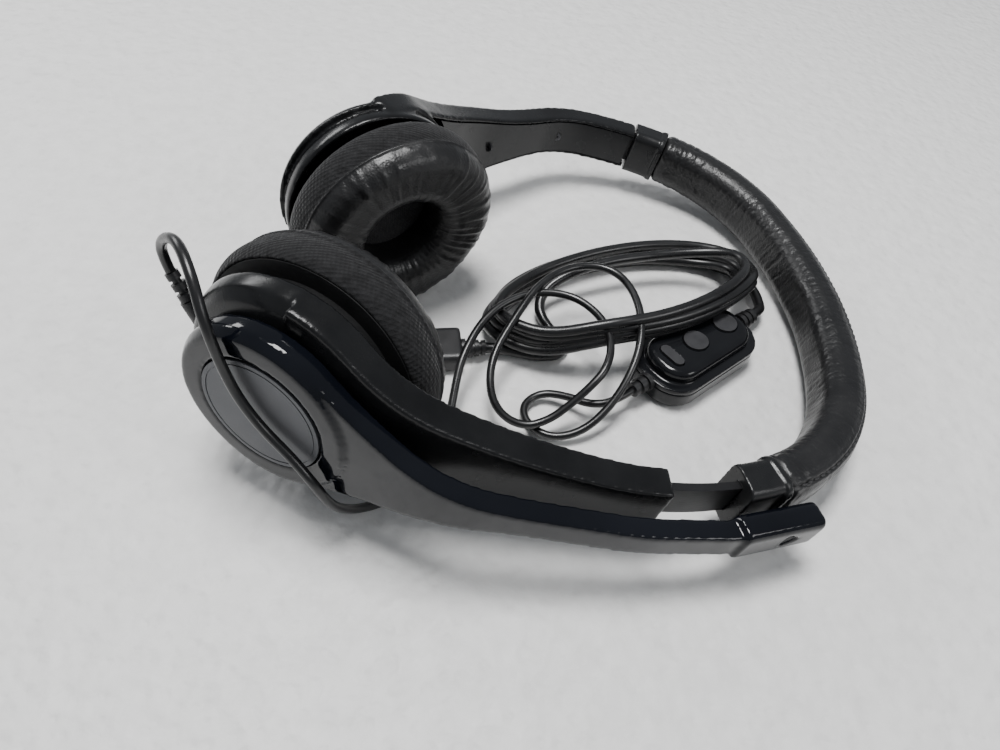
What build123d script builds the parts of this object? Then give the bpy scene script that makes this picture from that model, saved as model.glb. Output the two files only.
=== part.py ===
"""Office headset lying on its side: padded headband, two sliding arms, tilting ear cups,
a swinging microphone boom and a USB cord with an in-line control.

The headset is drawn flat, with its median plane on XY, the crown towards +X, the wearer's
right towards +Y and the wearer's front towards +Z. Each side is drawn on the +Y side, and the
left one is mirrored. Then the whole headset is tipped until it rests on the crown and on both
ear cushions. The cord is drawn where it lies on that surface. Lengths are in millimetres.
"""
from build123d import *
from collections import namedtuple
from math import atan2, cos, degrees, radians, sin, tan
import os

os.makedirs("parts", exist_ok=True)

# ---------------------------------------------------------------- driving dimensions
# headband: a flat crown, tighter shoulders, then the sides, tangent to each other
crown_x = 129.8             # crown centreline, from the drawing's origin
crown_radius = 136.0
crown_half_angle = 20.0
shoulder_radius = 63.0
shoulder_turn = 40.5
side_radius = 85.0
pad_end_turn = 8.1          # length of the side that the pad covers, as an angle
collar_length = 14.0
pad_width, pad_thick = 20.6, 15.6
cover_thick = 1.2
core_width, core_thick = 16.0, 9.4

# slider: a curved strip, in a channel of the same radius
slide_radius = 120.0
strip_width, strip_thick = 12.2, 2.5
slide_clear = 0.1
left_extension = 23.0       # how far the left arm is pulled out as it lies

# arms
arm_width, arm_thick = 17.0, 9.5
arm_wall = 1.7
arm_gap = 0.4               # between a closed arm and its collar
anchor_length = 16.0        # how far the strip is held inside the arm
arm_flare = 150.0           # radius of the outline's flare into the cap

# cap, the bowl at the end of each arm: z = 0 is the middle of the arm's thickness
cap_radius = 33.0
cap_back, cap_rim = 4.75, -5.0
pivot_z = -1.0              # height of the cup's two tilt axes

# ear cup and cushion
flange_radius = 33.8
flange_top = -8.6
cushion_radius = 35.4
cushion_hole = 13.0
cushion_face = -27.8
cushion_round = 7.0

# boom hub, on the left cap's back
hub_radius = 27.0
hub_base = 5.3
post_radius = 9.0
badge_radius = 18.4
boom_width, boom_thick = 9.5, 6.5
mic_width, mic_thick, mic_length = 13.0, 8.6, 28.0

# how the headset lies
tip_pitch = 8.88
shift_x, shift_y = -25.3, 5.5     # from the drawing to the origin under the middle
rest_shift = (shift_x, shift_y, 30.9)

# ---------------------------------------------------------------- sides and placing
# waist: the points where the arm's run bends on its way to the cap, each with a bend radius
Side = namedtuple("Side", "name extension cap_x cap_y cap_turn nod swing waist")
left = Side("left", left_extension, -58.1, 66.2, 29.7, 2.0, 0.0, [(-29.5, 82.6, 60.0)])
right = Side(
    "right", arm_gap, -41.0, 25.0, 27.0, 2.0, -3.2, [(36.0, 92.7, 42.0), (-6.0, 67.0, 70.0)]
)


def cap_plane(side):
    """Axis of the cap along z, outwards; x runs towards the arm."""
    turn = radians(side.cap_turn)
    return Plane(
        origin=(side.cap_x, side.cap_y, 0),
        x_dir=(cos(turn), sin(turn), 0),
        z_dir=(-sin(turn), cos(turn), 0),
    )


def pivot_plane(side, tilted=False):
    """Cap plane turned by the tilt the cup has at rest: about x, then also about y."""
    placed = cap_plane(side).location * Location((0, 0, pivot_z), (side.nod, 0, 0))
    if tilted:
        placed = placed * Location((0, 0, 0), (0, side.swing, 0))
    return Plane(placed * Location((0, 0, -pivot_z)))


lay_down = (
    Location(rest_shift) * Location((0, 0, 0), (0, tip_pitch, 0))
)
saved = {}


def save(part, name, side=None, local=None):
    """Place a finished piece as it lies, label it and write its STEP file."""
    placed = part if local is None else local.location * part
    if side is not None and side.name == "left":
        placed = placed.mirror(Plane.XZ)
    placed = lay_down * placed
    placed.label = name
    export_step(placed, f"parts/{name}.step")
    saved[name] = placed
    return placed


def saved_point(side, local, point):
    """Where a point of a placed plane ends up as the headset lies."""
    spot = local.from_local_coords(point)
    if side.name == "left":
        spot = Vector(spot.X, -spot.Y, spot.Z)
    return (lay_down * Location(spot)).position


def save_loose(part, name, place=Location()):
    """Write a piece that lies loose on the surface, away from the tipped headset."""
    placed = place * part
    placed.label = name
    export_step(placed, f"parts/{name}.step")
    saved[name] = placed


def polar(centre, radius, turn):
    """Point on a circle in the XY plane."""
    x, y = tuple(centre)[:2]
    return Vector(x + radius * cos(radians(turn)), y + radius * sin(radians(turn)))


# headband centreline, from the crown to the pad's end on the +Y side
crown_centre = (crown_x - crown_radius, 0)
shoulder_start = polar(crown_centre, crown_radius, crown_half_angle)
shoulder_centre = polar(shoulder_start, -shoulder_radius, crown_half_angle)
side_turn = crown_half_angle + shoulder_turn
side_start = polar(shoulder_centre, shoulder_radius, side_turn)
side_centre = polar(side_start, -side_radius, side_turn)
pad_end = polar(side_centre, side_radius, side_turn + pad_end_turn)
pad_end_heading = side_turn + pad_end_turn

# slide arc: tangent to the headband's side where a closed arm begins
mouth_heading = pad_end_heading + degrees(collar_length / side_radius)
mouth = polar(side_centre, side_radius, mouth_heading)
slide_centre = polar(mouth, -slide_radius, mouth_heading)


def slide_angle(length):
    return degrees(length / slide_radius)


def on_slide(distance):
    """Heading on the slide arc at a distance from the collar's mouth."""
    return mouth_heading + slide_angle(distance)


def cross_section(point, heading):
    """Plane across a band whose outward normal has the given heading."""
    outward = (cos(radians(heading)), sin(radians(heading)), 0)
    along = (-sin(radians(heading)), cos(radians(heading)), 0)
    return Plane(origin=(point.X, point.Y, 0), x_dir=outward, z_dir=along)


def slide_bar(start, end, width, thick):
    """Bar along the slide arc between two distances from the collar's mouth."""
    heading = on_slide(start)
    with BuildPart() as bar:
        with BuildLine() as path:
            CenterArc(slide_centre, slide_radius, heading, slide_angle(end - start))
        with BuildSketch(cross_section(polar(slide_centre, slide_radius, heading), heading)):
            Rectangle(thick, width)
        sweep(path=path.line)
    return bar.part


def headband_bar(width, thick, corner):
    """Bar along the headband's centreline, from one pad end to the other."""
    with BuildPart() as bar:
        with BuildLine() as path:
            CenterArc(side_centre, side_radius, pad_end_heading, -pad_end_turn)
            CenterArc(shoulder_centre, shoulder_radius, side_turn, -shoulder_turn)
            CenterArc(crown_centre, crown_radius, crown_half_angle, -2 * crown_half_angle)
            mirrored = (shoulder_centre.X, -shoulder_centre.Y)
            CenterArc(mirrored, shoulder_radius, -crown_half_angle, -shoulder_turn)
            CenterArc((side_centre.X, -side_centre.Y), side_radius, -side_turn, -pad_end_turn)
        with BuildSketch(cross_section(pad_end, pad_end_heading)):
            RectangleRounded(thick, width, corner)
        sweep(path=path.line)
    return bar.part


def rounded_run(points, radii):
    """Straight runs in a plane, joined by tangent arcs."""
    corners = [Vector(*p[:2]) if not isinstance(p, Vector) else p for p in points]
    here = corners[0]
    for before, corner, after, radius in zip(corners, corners[1:], corners[2:], radii):
        arrive, leave = (corner - before).normalized(), (after - corner).normalized()
        turn = degrees(atan2(arrive.cross(leave).Z, arrive.dot(leave)))
        reach = radius * tan(radians(abs(turn)) / 2)
        Line(here, corner - arrive * reach)
        JernArc(corner - arrive * reach, arrive, radius, turn)
        here = corner + leave * reach
    Line(here, corners[-1])


def arm_path(side):
    """Centreline of an arm, drawn with the arm closed, from its mouth to the cap's middle."""
    start = mouth_heading + slide_angle(side.extension)
    anchor = start + slide_angle(anchor_length)
    points = [polar(slide_centre, slide_radius, anchor)]
    points += [(x, y) for x, y, _ in side.waist] + [cap_end(side)]
    with BuildLine() as path:
        CenterArc(slide_centre, slide_radius, start, slide_angle(anchor_length))
        rounded_run(points, [r for _, _, r in side.waist])
    return path.wires()[0], start


def cap_end(side):
    """Point the arm's centreline runs to, on the cap's axis."""
    lift = 2.5 if side.waist[0][0] > 0 else 0.0
    turn = radians(side.cap_turn)
    return (side.cap_x - lift * sin(turn), side.cap_y + lift * cos(turn))


def arm_layer(side, low, high, inset):
    """Layer of the arm between two heights over its centreline, cut to the arm's outline."""
    path, start = arm_path(side)
    radius, half, flare = cap_radius - inset, arm_width / 2 - inset, arm_flare + inset
    x = ((cap_radius + arm_flare) ** 2 - (arm_width / 2 + arm_flare) ** 2) ** 0.5
    touch = radius / (cap_radius + arm_flare)
    neck = (x * touch, (arm_width / 2 + arm_flare) * touch)
    with BuildPart() as layer:
        with BuildSketch(cross_section(polar(slide_centre, slide_radius, start), start)):
            with Locations(((low + high) / 2, 0)):
                Rectangle(high - low, 3 * cap_radius)
        sweep(path=path)
        with BuildSketch(cap_plane(side)):
            with BuildLine():
                RadiusArc((x, half), neck, flare)
                ThreePointArc(neck, (-radius, 0), (neck[0], -neck[1]))
                RadiusArc((neck[0], -neck[1]), (x, -half), flare)
                Polyline((x, -half), (180, -half), (180, half), (x, half))
            make_face()
        extrude(amount=90, both=True, mode=Mode.INTERSECT)
    return layer.part


def ring_of(profile):
    """Solid turned about the z axis from a closed outline of (radius, height) points."""
    with BuildPart() as ring:
        with BuildSketch(Plane.XZ):
            with BuildLine():
                Polyline(*profile, close=True)
            make_face()
        revolve(axis=Axis.Z)
    return ring.part


def disc(radius, low, high, hole=0.0):
    with BuildPart() as plate:
        with BuildSketch(Plane.XY.offset(low)):
            Circle(radius)
            if hole:
                Circle(hole, mode=Mode.SUBTRACT)
        extrude(amount=high - low)
    return plate.part


def block(x, y, low, high, at=(0, 0), round_by=0.0):
    with BuildPart() as slab:
        with BuildSketch(Plane.XY.offset(low)):
            with Locations(at):
                if round_by:
                    RectangleRounded(x, y, round_by)
                else:
                    Rectangle(x, y)
        extrude(amount=high - low)
    return slab.part


def rod(radius, start, end):
    """Straight round rod between two points."""
    run = Vector(*end) - Vector(*start)
    with BuildPart() as bar:
        with BuildSketch(Plane(origin=start, z_dir=run)):
            Circle(radius)
        extrude(amount=run.length)
    return bar.part


def screw(plane, seat, shank, head_radius=2.0, shank_radius=1.0):
    """Screw with its head's top at the plane, and its shank running down."""
    with BuildPart() as fastener:
        with BuildSketch(plane.offset(-seat)):
            Circle(head_radius)
        extrude(amount=seat)
        with BuildSketch(plane.offset(-seat)):
            Circle(shank_radius)
        extrude(amount=-shank)
        with BuildSketch(plane):
            Rectangle(0.6, 2.2)
            Rectangle(2.2, 0.6)
        extrude(amount=-0.6, mode=Mode.SUBTRACT)
    return fastener.part


def on_arm(side, share, height):
    """Plane facing outwards from the arm, at a share of its path and a height over it."""
    path, _ = arm_path(side)
    along = path % share
    outward = Vector(along.Y, -along.X)
    spot = path @ share + outward * height
    return Plane(origin=spot, x_dir=along, z_dir=outward)


# ---------------------------------------------------------------- headband
with BuildPart() as headband_spring:
    with BuildLine() as spring_path:
        CenterArc(crown_centre, crown_radius, crown_half_angle + 8, -2 * crown_half_angle - 16)
    with BuildSketch(
        cross_section(polar(crown_centre, crown_radius, crown_half_angle + 8), crown_half_angle + 8)
    ):
        Rectangle(0.8, 12)
    sweep(path=spring_path.line)
headband_spring = headband_spring.part


def collar_bar(length, width, thick, corner, lead=0.0):
    with BuildPart() as bar:
        start = pad_end_heading - degrees(lead / side_radius)
        with BuildLine() as path:
            CenterArc(side_centre, side_radius, start, degrees((length + lead) / side_radius))
        with BuildSketch(cross_section(polar(side_centre, side_radius, start), start)):
            RectangleRounded(thick, width, corner)
        sweep(path=path.line)
    return bar.part


channel = slide_bar(-39, 1, strip_width + 2 * slide_clear, strip_thick + 2 * slide_clear)
collar_core = collar_bar(collar_length - 1.5, core_width, core_thick, 2.0)
with BuildPart() as headband_core:
    add(headband_bar(core_width, core_thick, 2.0))
    add(collar_core)
    add(collar_core.mirror(Plane.XZ))
    add(headband_spring, mode=Mode.SUBTRACT)
    add(channel, mode=Mode.SUBTRACT)
    add(channel.mirror(Plane.XZ), mode=Mode.SUBTRACT)
with BuildPart() as headband_foam:
    add(headband_bar(pad_width - 2 * cover_thick, pad_thick - 2 * cover_thick, 5.2))
    add(headband_bar(core_width, core_thick, 2.0), mode=Mode.SUBTRACT)
with BuildPart() as headband_cover:
    add(headband_bar(pad_width, pad_thick, 6.4))
    add(headband_bar(pad_width - 2 * cover_thick, pad_thick - 2 * cover_thick, 5.2), mode=Mode.SUBTRACT)
with BuildPart() as collar:
    add(collar_bar(collar_length, 19.0, 12.2, 3.0))
    add(collar_bar(2.2, 20.2, 14.4, 4.5))
    add(collar_core, mode=Mode.SUBTRACT)
    add(channel, mode=Mode.SUBTRACT)
save(headband_core.part, "headband_core")
save(headband_spring, "headband_spring")
save(headband_foam.part, "headband_foam")
save(headband_cover.part, "headband_cover")
save(collar.part, "left_collar", left)
save(collar.part, "right_collar", right)


# ---------------------------------------------------------------- one side
def dome_outline(wall):
    """Outline of the right cap's raised back, or of the hollow in it."""
    low = 4.6 if wall else 3.4
    return [(0, low), (33 - wall, low), (31.6 - wall, 6.3), (28 - wall, 8.8 - wall / 2), (22 - wall, 10.4 - wall),
            (0, 11.2 - wall)]


def side_pieces(side):
    name, cap, ring, cup = side.name, cap_plane(side), pivot_plane(side), pivot_plane(side, True)
    mouth_at = side.extension
    hinges = [(x, 0) for x in (-12.5, 12.5)]

    with BuildPart() as strip:
        add(slide_bar(mouth_at - 36, mouth_at + anchor_length - 2, strip_width, strip_thick))
    save(strip.part, f"{name}_slider_strip", side)

    half = arm_thick / 2
    bowl = ring_of(
        [(0, cap_back), (24, cap_back), (29.5, 3.4), (32.2, 0.4), (33, -3), (33, cap_rim), (31.4, cap_rim),
         (31.2, -2.5), (30, 0), (27.5, 2), (24, 3.0), (0, 3.0)]
    )
    bowl_inside = ring_of(
        [(0, -30), (35.4, -30), (35.4, cap_rim), (31.4, cap_rim), (31.2, -2.5), (30, 0), (27.5, 2), (24, 3.0),
         (0, 3.0)]
    )
    with BuildPart() as inner_cover:
        add(arm_layer(side, -half, -half + 1.6, arm_wall + 0.05))
        add(cap.location * disc(cap_radius + 1.4, -40, 40), mode=Mode.SUBTRACT)
        add(slide_bar(mouth_at - 4, mouth_at + 1.5, 30, 30), mode=Mode.SUBTRACT)
    spots = (0.27, 0.55)
    with BuildPart() as screws:
        for share in spots:
            add(screw(on_arm(side, share, -half + 0.1).rotated((180, 0, 0)), 0.9, 4.0))
    inner_cover = inner_cover.part - screws.part
    with BuildPart() as outer:
        add(arm_layer(side, -half, half, 0))
        add(arm_layer(side, -half - 1, half - arm_wall, arm_wall), mode=Mode.SUBTRACT)
        with BuildPart(mode=Mode.PRIVATE) as anchor:
            add(arm_layer(side, -half + 1.6, half - 0.5, 0.5))
            add(slide_bar(mouth_at - 5, mouth_at + anchor_length, 30, 30), mode=Mode.INTERSECT)
        add(anchor.part)
        for share in spots:
            with BuildSketch(on_arm(side, share, -half + 1.6)):
                Circle(2.4)
            extrude(amount=arm_thick - 1.6 - 0.8)
        add(slide_bar(mouth_at - 5, mouth_at + 1.4, 13.6, arm_thick - 2 * arm_wall), mode=Mode.SUBTRACT)
        if cap_end(side) != (side.cap_x, side.cap_y):
            add(cap.location * ring_of(dome_outline(0.0)))
            add(cap.location * ring_of(dome_outline(arm_wall)), mode=Mode.SUBTRACT)
        add(cap.location * bowl)
        add(cap.location * bowl_inside, mode=Mode.SUBTRACT)
        for x, y in hinges:
            with BuildPart(mode=Mode.PRIVATE) as lug:
                add(block(3, 5, -3.2, 3.4, (x, y)))
                add(rod(1.05, (x - 3, y, pivot_z), (x + 3, y, pivot_z)), mode=Mode.SUBTRACT)
            add(cap.location * lug.part)
        if side.name == "left":
            add(cap.location * disc(post_radius, 4.0, 11.8))
            add(cap.location * disc(12, 10.4, 11.2, 8.0), mode=Mode.SUBTRACT)
            add(cap.location * disc(3.0, 8.0, 12.0), mode=Mode.SUBTRACT)
            add(cap.location * relief_bed, mode=Mode.SUBTRACT)
        add(strip.part, mode=Mode.SUBTRACT)
        add(screws.part, mode=Mode.SUBTRACT)
    shell = outer.part.solids().sort_by(SortBy.VOLUME)[-1]
    save(Part(shell.wrapped), f"{name}_arm_outer_shell", side)
    save(inner_cover, f"{name}_arm_inner_cover", side)
    save(screws.part, f"{name}_arm_screws", side)

    # gimbal: the ring turns in the bowl about x, the cup turns on the ring about y
    with BuildPart() as pins:
        for turn in range(0, 360, 90):
            add(Rot(0, 0, turn) * rod(1.0, (7.4, 0, pivot_z), (13.6, 0, pivot_z)))
    with BuildPart() as pivot_ring:
        add(disc(10, -2.5, 0.5, 7))
        add(pins.part, mode=Mode.SUBTRACT)
    save(pivot_ring.part, f"{name}_pivot_ring", side, ring)
    save(pins.part, f"{name}_pivot_pins", side, ring)

    with BuildPart() as housing:
        add(ring_of([(0, -5), (24, -5), (28.6, flange_top), (33.8, flange_top), (33.8, -10.1), (27, -10.1),
                     (27, -8), (23, -6.5), (0, -6.5)]))
        for y in (-12.5, 12.5):
            add(block(5, 3, -5.2, 0.6, (0, y)))
            add(rod(1.05, (0, y - 3, pivot_z), (0, y + 3, pivot_z)), mode=Mode.SUBTRACT)
    with BuildPart() as magnet:
        add(disc(8.0, -8.6, -6.5))
    with BuildPart() as frame:
        add(ring_of([(8.0, -7.4), (11, -7.4), (15.2, -9.0), (15.2, -10.1), (13.6, -10.1), (13.6, -9.6),
                     (10.5, -8.4), (8.0, -8.4)]))
    with BuildPart() as diaphragm:
        add(ring_of([(0, -9.3), (6, -9.3), (8, -9.6), (13.6, -9.6), (13.6, -9.8), (8, -9.8), (6, -9.5),
                     (0, -9.5)]))
    with BuildPart() as baffle:
        add(disc(26.9, -10.1, -8.9, 15.2))
    with BuildPart() as mesh:
        add(disc(18.0, -11.0, -10.1))
    with BuildPart() as retainer:
        add(disc(flange_radius, -11.4, -10.1, 18.0))
    for piece, tag in (
        (housing, "cup_housing"), (magnet, "driver_magnet"), (frame, "driver_frame"),
        (diaphragm, "driver_diaphragm"), (baffle, "baffle"), (mesh, "speaker_mesh"),
        (retainer, "cushion_ring"),
    ):
        save(piece.part, f"{name}_{tag}", side, cup)

    def cushion_body(skin):
        high, low = -11.4 - skin, cushion_face + skin
        inner, outer = cushion_hole + skin, cushion_radius - skin
        soft, waist = cushion_round - skin, 33.4 - skin
        with BuildPart() as body:
            with BuildSketch(Plane.XZ):
                with BuildLine():
                    Line((inner + 1.0, high), (waist, high))
                    ThreePointArc((waist, high), (outer, high - 5.0), (outer - 0.6, low + 6.6 - skin))
                    ThreePointArc(
                        (outer - 0.6, low + 6.6 - skin), (outer - 2.6, low + 2.2), (outer - soft, low)
                    )
                    Line((outer - soft, low), (inner + soft - 1.0, low))
                    ThreePointArc((inner + soft - 1.0, low), (inner + 1.6, low + 1.8), (inner, low + soft))
                    Line((inner, low + soft), (inner + 1.0, high))
                make_face()
            revolve(axis=Axis.Z)
        return body.part

    foam = cushion_body(1.0)
    with BuildPart() as cover:
        add(cushion_body(0.0))
        add(foam, mode=Mode.SUBTRACT)
    save(foam, f"{name}_cushion_foam", side, cup)
    save(cover.part, f"{name}_cushion_cover", side, cup)


# ---------------------------------------------------------------- cord relief on the left cap
relief_turn = -175.0        # where the cord leaves the cap's edge, from the arm's direction
relief_heading = -128.0     # which way it leaves, in the cap's plane
relief_radius = 2.6
relief_start = Vector(
    (cap_radius - 3.5) * cos(radians(relief_turn)), (cap_radius - 3.5) * sin(radians(relief_turn)), -1.2
)
relief_run = Vector(cos(radians(relief_heading)), sin(radians(relief_heading)), 0)
relief_bed = rod(relief_radius, relief_start, relief_start + relief_run * 8)
side_pieces(right)
side_pieces(left)


# ---------------------------------------------------------------- microphone boom
hub = cap_plane(left)
boom_mid = 8.75             # height of the boom's middle over the cap
boom_half = boom_width / 2
boom_flare = 120.0


def over_cap(x, height):
    """Plan position of a point at x along the cap and at a height over it."""
    spot = hub.origin + hub.x_dir * x + hub.z_dir * height
    return (spot.X, spot.Y)


boom_points = [over_cap(14, boom_mid), over_cap(52, boom_mid), (38, 104.4), (66, 102.7), (93.6, 95.5)]
boom_bends = [60.0, 90.0, 50.0]
boom_end, boom_last = Vector(*boom_points[-1]), Vector(*boom_points[-2])
mic_run = (boom_end - boom_last).normalized()


def boom_layer(low, high, inset):
    """Layer of the boom between two heights over its centreline, cut to its teardrop outline."""
    with BuildPart() as layer:
        with BuildLine() as path:
            rounded_run(boom_points, boom_bends)
        start = Plane(origin=(*boom_points[0], 0), x_dir=hub.z_dir, z_dir=hub.x_dir)
        with BuildSketch(start):
            with Locations(((low + high) / 2, 0)):
                Rectangle(high - low, 3 * cap_radius)
        sweep(path=path.wires()[0])
        radius, half, flare = hub_radius - inset, boom_half - inset, boom_flare + inset
        x = ((hub_radius + boom_flare) ** 2 - (boom_half + boom_flare) ** 2) ** 0.5
        touch = radius / (hub_radius + boom_flare)
        neck = (x * touch, (boom_half + boom_flare) * touch)
        with BuildSketch(hub):
            with BuildLine():
                RadiusArc((x, half), neck, flare)
                ThreePointArc(neck, (-radius, 0), (neck[0], -neck[1]))
                RadiusArc((neck[0], -neck[1]), (x, -half), flare)
                Polyline((x, -half), (220, -half), (220, half), (x, half))
            make_face()
        extrude(amount=120, both=True, mode=Mode.INTERSECT)
    return layer.part


def mic_plane(back):
    """Plane across the boom at a distance back from its tip."""
    spot = boom_end - mic_run * back
    return Plane(origin=(spot.X, spot.Y, 0), x_dir=(-mic_run.Y, mic_run.X, 0), z_dir=mic_run)


with BuildPart() as mic_capsule:
    with BuildSketch(mic_plane(9)):
        Circle(3.0)
    extrude(amount=5)
port = Plane(
    origin=mic_plane(11).origin + mic_plane(11).x_dir * (mic_thick / 2), x_dir=mic_run,
    z_dir=mic_plane(11).x_dir,
)
with BuildPart() as mic_port_mesh:
    with BuildSketch(port.offset(-1.2)):
        RegularPolygon(3.8, 3)
    extrude(amount=0.5)
with BuildPart() as boom_cover:
    add(boom_layer(-boom_thick / 2, -boom_thick / 2 + 1.5, 1.0))
    add(hub.location * disc(hub_radius + 0.4, -30, 30), mode=Mode.SUBTRACT)
    with BuildSketch(mic_plane(mic_length + 1)):
        Rectangle(60, 60)
    extrude(amount=mic_length + 30, mode=Mode.SUBTRACT)
with BuildPart() as boom:
    add(boom_layer(-boom_thick / 2, boom_thick / 2, 0))
    with BuildPart(mode=Mode.PRIVATE) as boom_hollow:
        add(boom_layer(-boom_thick / 2 - 1, boom_thick / 2 - 1.5, 1.0))
        with BuildSketch(mic_plane(mic_length + 1)):
            Rectangle(60, 60)
        extrude(amount=mic_length + 30, mode=Mode.SUBTRACT)
    add(boom_hollow.part, mode=Mode.SUBTRACT)
    add(hub.location * disc(hub_radius - 1, -30, 30), mode=Mode.SUBTRACT)
    add(hub.location * ring_of(
        [(post_radius + 0.05, hub_base), (hub_radius, hub_base), (hub_radius, 10.4), (25.2, 13.2), (18.8, 13.2),
         (18.8, 11.75), (11.2, 11.75), (11.2, 10.35), (post_radius + 0.05, 10.35)]))
    with BuildSketch(mic_plane(mic_length)):
        RectangleRounded(mic_thick, mic_width, 2.5)
    extrude(amount=mic_length)
    with BuildSketch(mic_plane(9)):
        Circle(3.0)
    extrude(amount=5, mode=Mode.SUBTRACT)
    with BuildSketch(port):
        RegularPolygon(3.8, 3)
    extrude(amount=-1.2, mode=Mode.SUBTRACT)
with BuildPart() as friction_washer:
    add(disc(14.5, cap_back, hub_base - 0.05, 11))
with BuildPart() as retaining_clip:
    add(disc(11.0, 10.4, 11.2, 8.0))
with BuildPart() as badge:
    add(disc(badge_radius, 11.8, 13.3))
    add(disc(3.0, 8.0, 11.8))
    add(disc(17.2, 13.1, 13.3, 16.8), mode=Mode.SUBTRACT)
save(boom.part, "mic_boom", left)
save(boom_cover.part, "mic_boom_cover", left)
save(mic_capsule.part, "mic_capsule", left)
save(mic_port_mesh.part, "mic_port_mesh", left)
save(friction_washer.part, "boom_friction_washer", left, hub)
save(retaining_clip.part, "boom_retaining_clip", left, hub)
save(badge.part, "left_badge_disc", left, hub)


# ---------------------------------------------------------------- in-line control
# the cord's pieces lie on the surface, so they are placed as they lie
control_length, control_width = 50.0, 27.0
control_split, control_top = 7.6, 14.6
control_place = Location((77 + shift_x, -21.5 + shift_y, 0.2), (0, 0, 35.3))
relief_reach = 9.0

button_spots = {"volume_up_button": (13.5, 0), "volume_down_button": (-2.5, 0)}


def ribbed_relief(length, base, tip, ribs):
    """Tapered strain relief along x from the origin, with narrow necks between its ribs."""
    step = length / ribs
    outline = [(0, 0)]
    for rib in range(ribs):
        radius = base + (tip - base) * rib / (ribs - 1)
        outline += [(rib * step, radius), ((rib + 0.62) * step, radius)]
        if rib < ribs - 1:
            outline += [((rib + 0.62) * step, radius - 0.9), ((rib + 1) * step, radius - 0.9)]
    outline += [((ribs - 0.38) * step, 0)]
    with BuildPart() as relief:
        with BuildSketch(Plane.XY):
            with BuildLine():
                Polyline(*outline, close=True)
            make_face()
        revolve(axis=Axis.X)
    return relief.part


with BuildPart() as lower:
    with BuildSketch(Plane.XY):
        RectangleRounded(control_length, control_width, 11)
    extrude(amount=control_split)
    fillet(lower.faces().sort_by(Axis.Z)[0].edges(), 3)
    offset(amount=-1.6, openings=lower.faces().sort_by(Axis.Z)[-1])
    for x in (-19, 19):
        with BuildSketch(Plane.XY.offset(1.6)):
            with Locations((x, 0)):
                Circle(2.6)
        extrude(amount=control_split - 1.6)
with BuildPart() as upper:
    with BuildSketch(Plane.XY.offset(control_split)):
        RectangleRounded(control_length, control_width, 11)
    extrude(amount=2.2)
    with BuildSketch(Plane.XY.offset(control_split + 2.2)):
        RectangleRounded(control_length - 7, control_width - 6, 9)
    extrude(amount=control_top - control_split - 2.2)
    fillet(upper.faces().sort_by(Axis.Z)[-1].edges(), 2.5)
    with BuildSketch(Plane.XY.offset(control_split)):
        RectangleRounded(control_length - 10, control_width - 9, 7)
    extrude(amount=control_top - control_split - 1.8, mode=Mode.SUBTRACT)
    for x, y in button_spots.values():
        with BuildSketch(Plane.XY.offset(control_split)):
            with Locations((x, y)):
                Circle(4.6)
        extrude(amount=12, mode=Mode.SUBTRACT)
    with BuildSketch(Plane.XY.offset(control_split)):
        with Locations((-15, 0)):
            SlotOverall(10.2, 4.2, rotation=90)
    extrude(amount=12, mode=Mode.SUBTRACT)
with BuildPart() as screws:
    for x in (-19, 19):
        add(screw(Plane(origin=(x, 0, 0.05), z_dir=(0, 0, -1)), 1.4, 4.5))
lower_shell = lower.part - screws.part
with BuildPart() as board:
    with BuildSketch(Plane.XY.offset(control_split)):
        Rectangle(33, 15)
    extrude(amount=1.2)
save_loose(lower_shell, "control_lower_shell", control_place)
save_loose(upper.part, "control_upper_shell", control_place)
save_loose(screws.part, "control_screws", control_place)
save_loose(board.part, "control_board", control_place)
for tag, (x, y) in button_spots.items():
    with BuildPart() as button:
        add(block(8.9, 8.9, control_split + 2.2, control_top + 0.6, (x, y), 4.4))
    save_loose(button.part, tag, control_place)
with BuildPart() as mute:
    with BuildSketch(Plane.XY.offset(control_split + 2.2)):
        with Locations((-15, 0)):
            SlotOverall(9.9, 3.9, rotation=90)
    extrude(amount=control_top - control_split - 1.6)
save_loose(mute.part, "mute_button", control_place)
relief_in = Location((-control_length / 2 + 0.2, 0, control_split), (0, 0, 180)) * ribbed_relief(
    relief_reach, 3.4, 2.6, 3
)
relief_out = Location((control_length / 2 - 0.2, 0, control_split)) * ribbed_relief(relief_reach, 3.6, 3.0, 3)
save_loose(relief_in - block(control_length, control_width, 0, 16), "control_relief_in", control_place)
save_loose(relief_out - block(control_length, control_width, 0, 16), "control_relief_out", control_place)


# ---------------------------------------------------------------- USB plug
plug_width, plug_height, plug_length = 16.0, 8.0, 22.0
usb_shell_width, usb_shell_height, usb_shell_length = 12.0, 4.5, 18.8
plug_place = Location((-8 + shift_x, -20 + shift_y, 0.3 + plug_height / 2), (0, 0, 184.9))
with BuildPart() as plug_body:
    with BuildSketch(Plane.YZ):
        RectangleRounded(plug_width, plug_height, 2.2)
    extrude(amount=plug_length)
    fillet(plug_body.faces().sort_by(Axis.X)[0].edges(), 1.2)
with BuildPart() as usb_shell:
    with BuildSketch(Plane.YZ.offset(plug_length)):
        Rectangle(usb_shell_width, usb_shell_height)
        Rectangle(usb_shell_width - 0.7, usb_shell_height - 0.7, mode=Mode.SUBTRACT)
    extrude(amount=usb_shell_length)
    for y in (-2.5, 2.5):
        with BuildSketch(Plane.XY):
            with Locations((plug_length + 6.5, y)):
                Rectangle(2.2, 2.2)
        extrude(amount=6, both=True, mode=Mode.SUBTRACT)
with BuildPart() as usb_tongue:
    with BuildSketch(Plane.YZ.offset(plug_length)):
        with Locations((0, -0.8)):
            Rectangle(usb_shell_width - 0.8, 1.9)
    extrude(amount=usb_shell_length - 1)
plug_relief = Location((0.1, 0, 0), (0, 0, 180)) * ribbed_relief(9.5, 3.6, 2.8, 4)
save_loose(plug_body.part, "usb_plug_body", plug_place)
save_loose(usb_shell.part, "usb_shell", plug_place)
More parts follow.
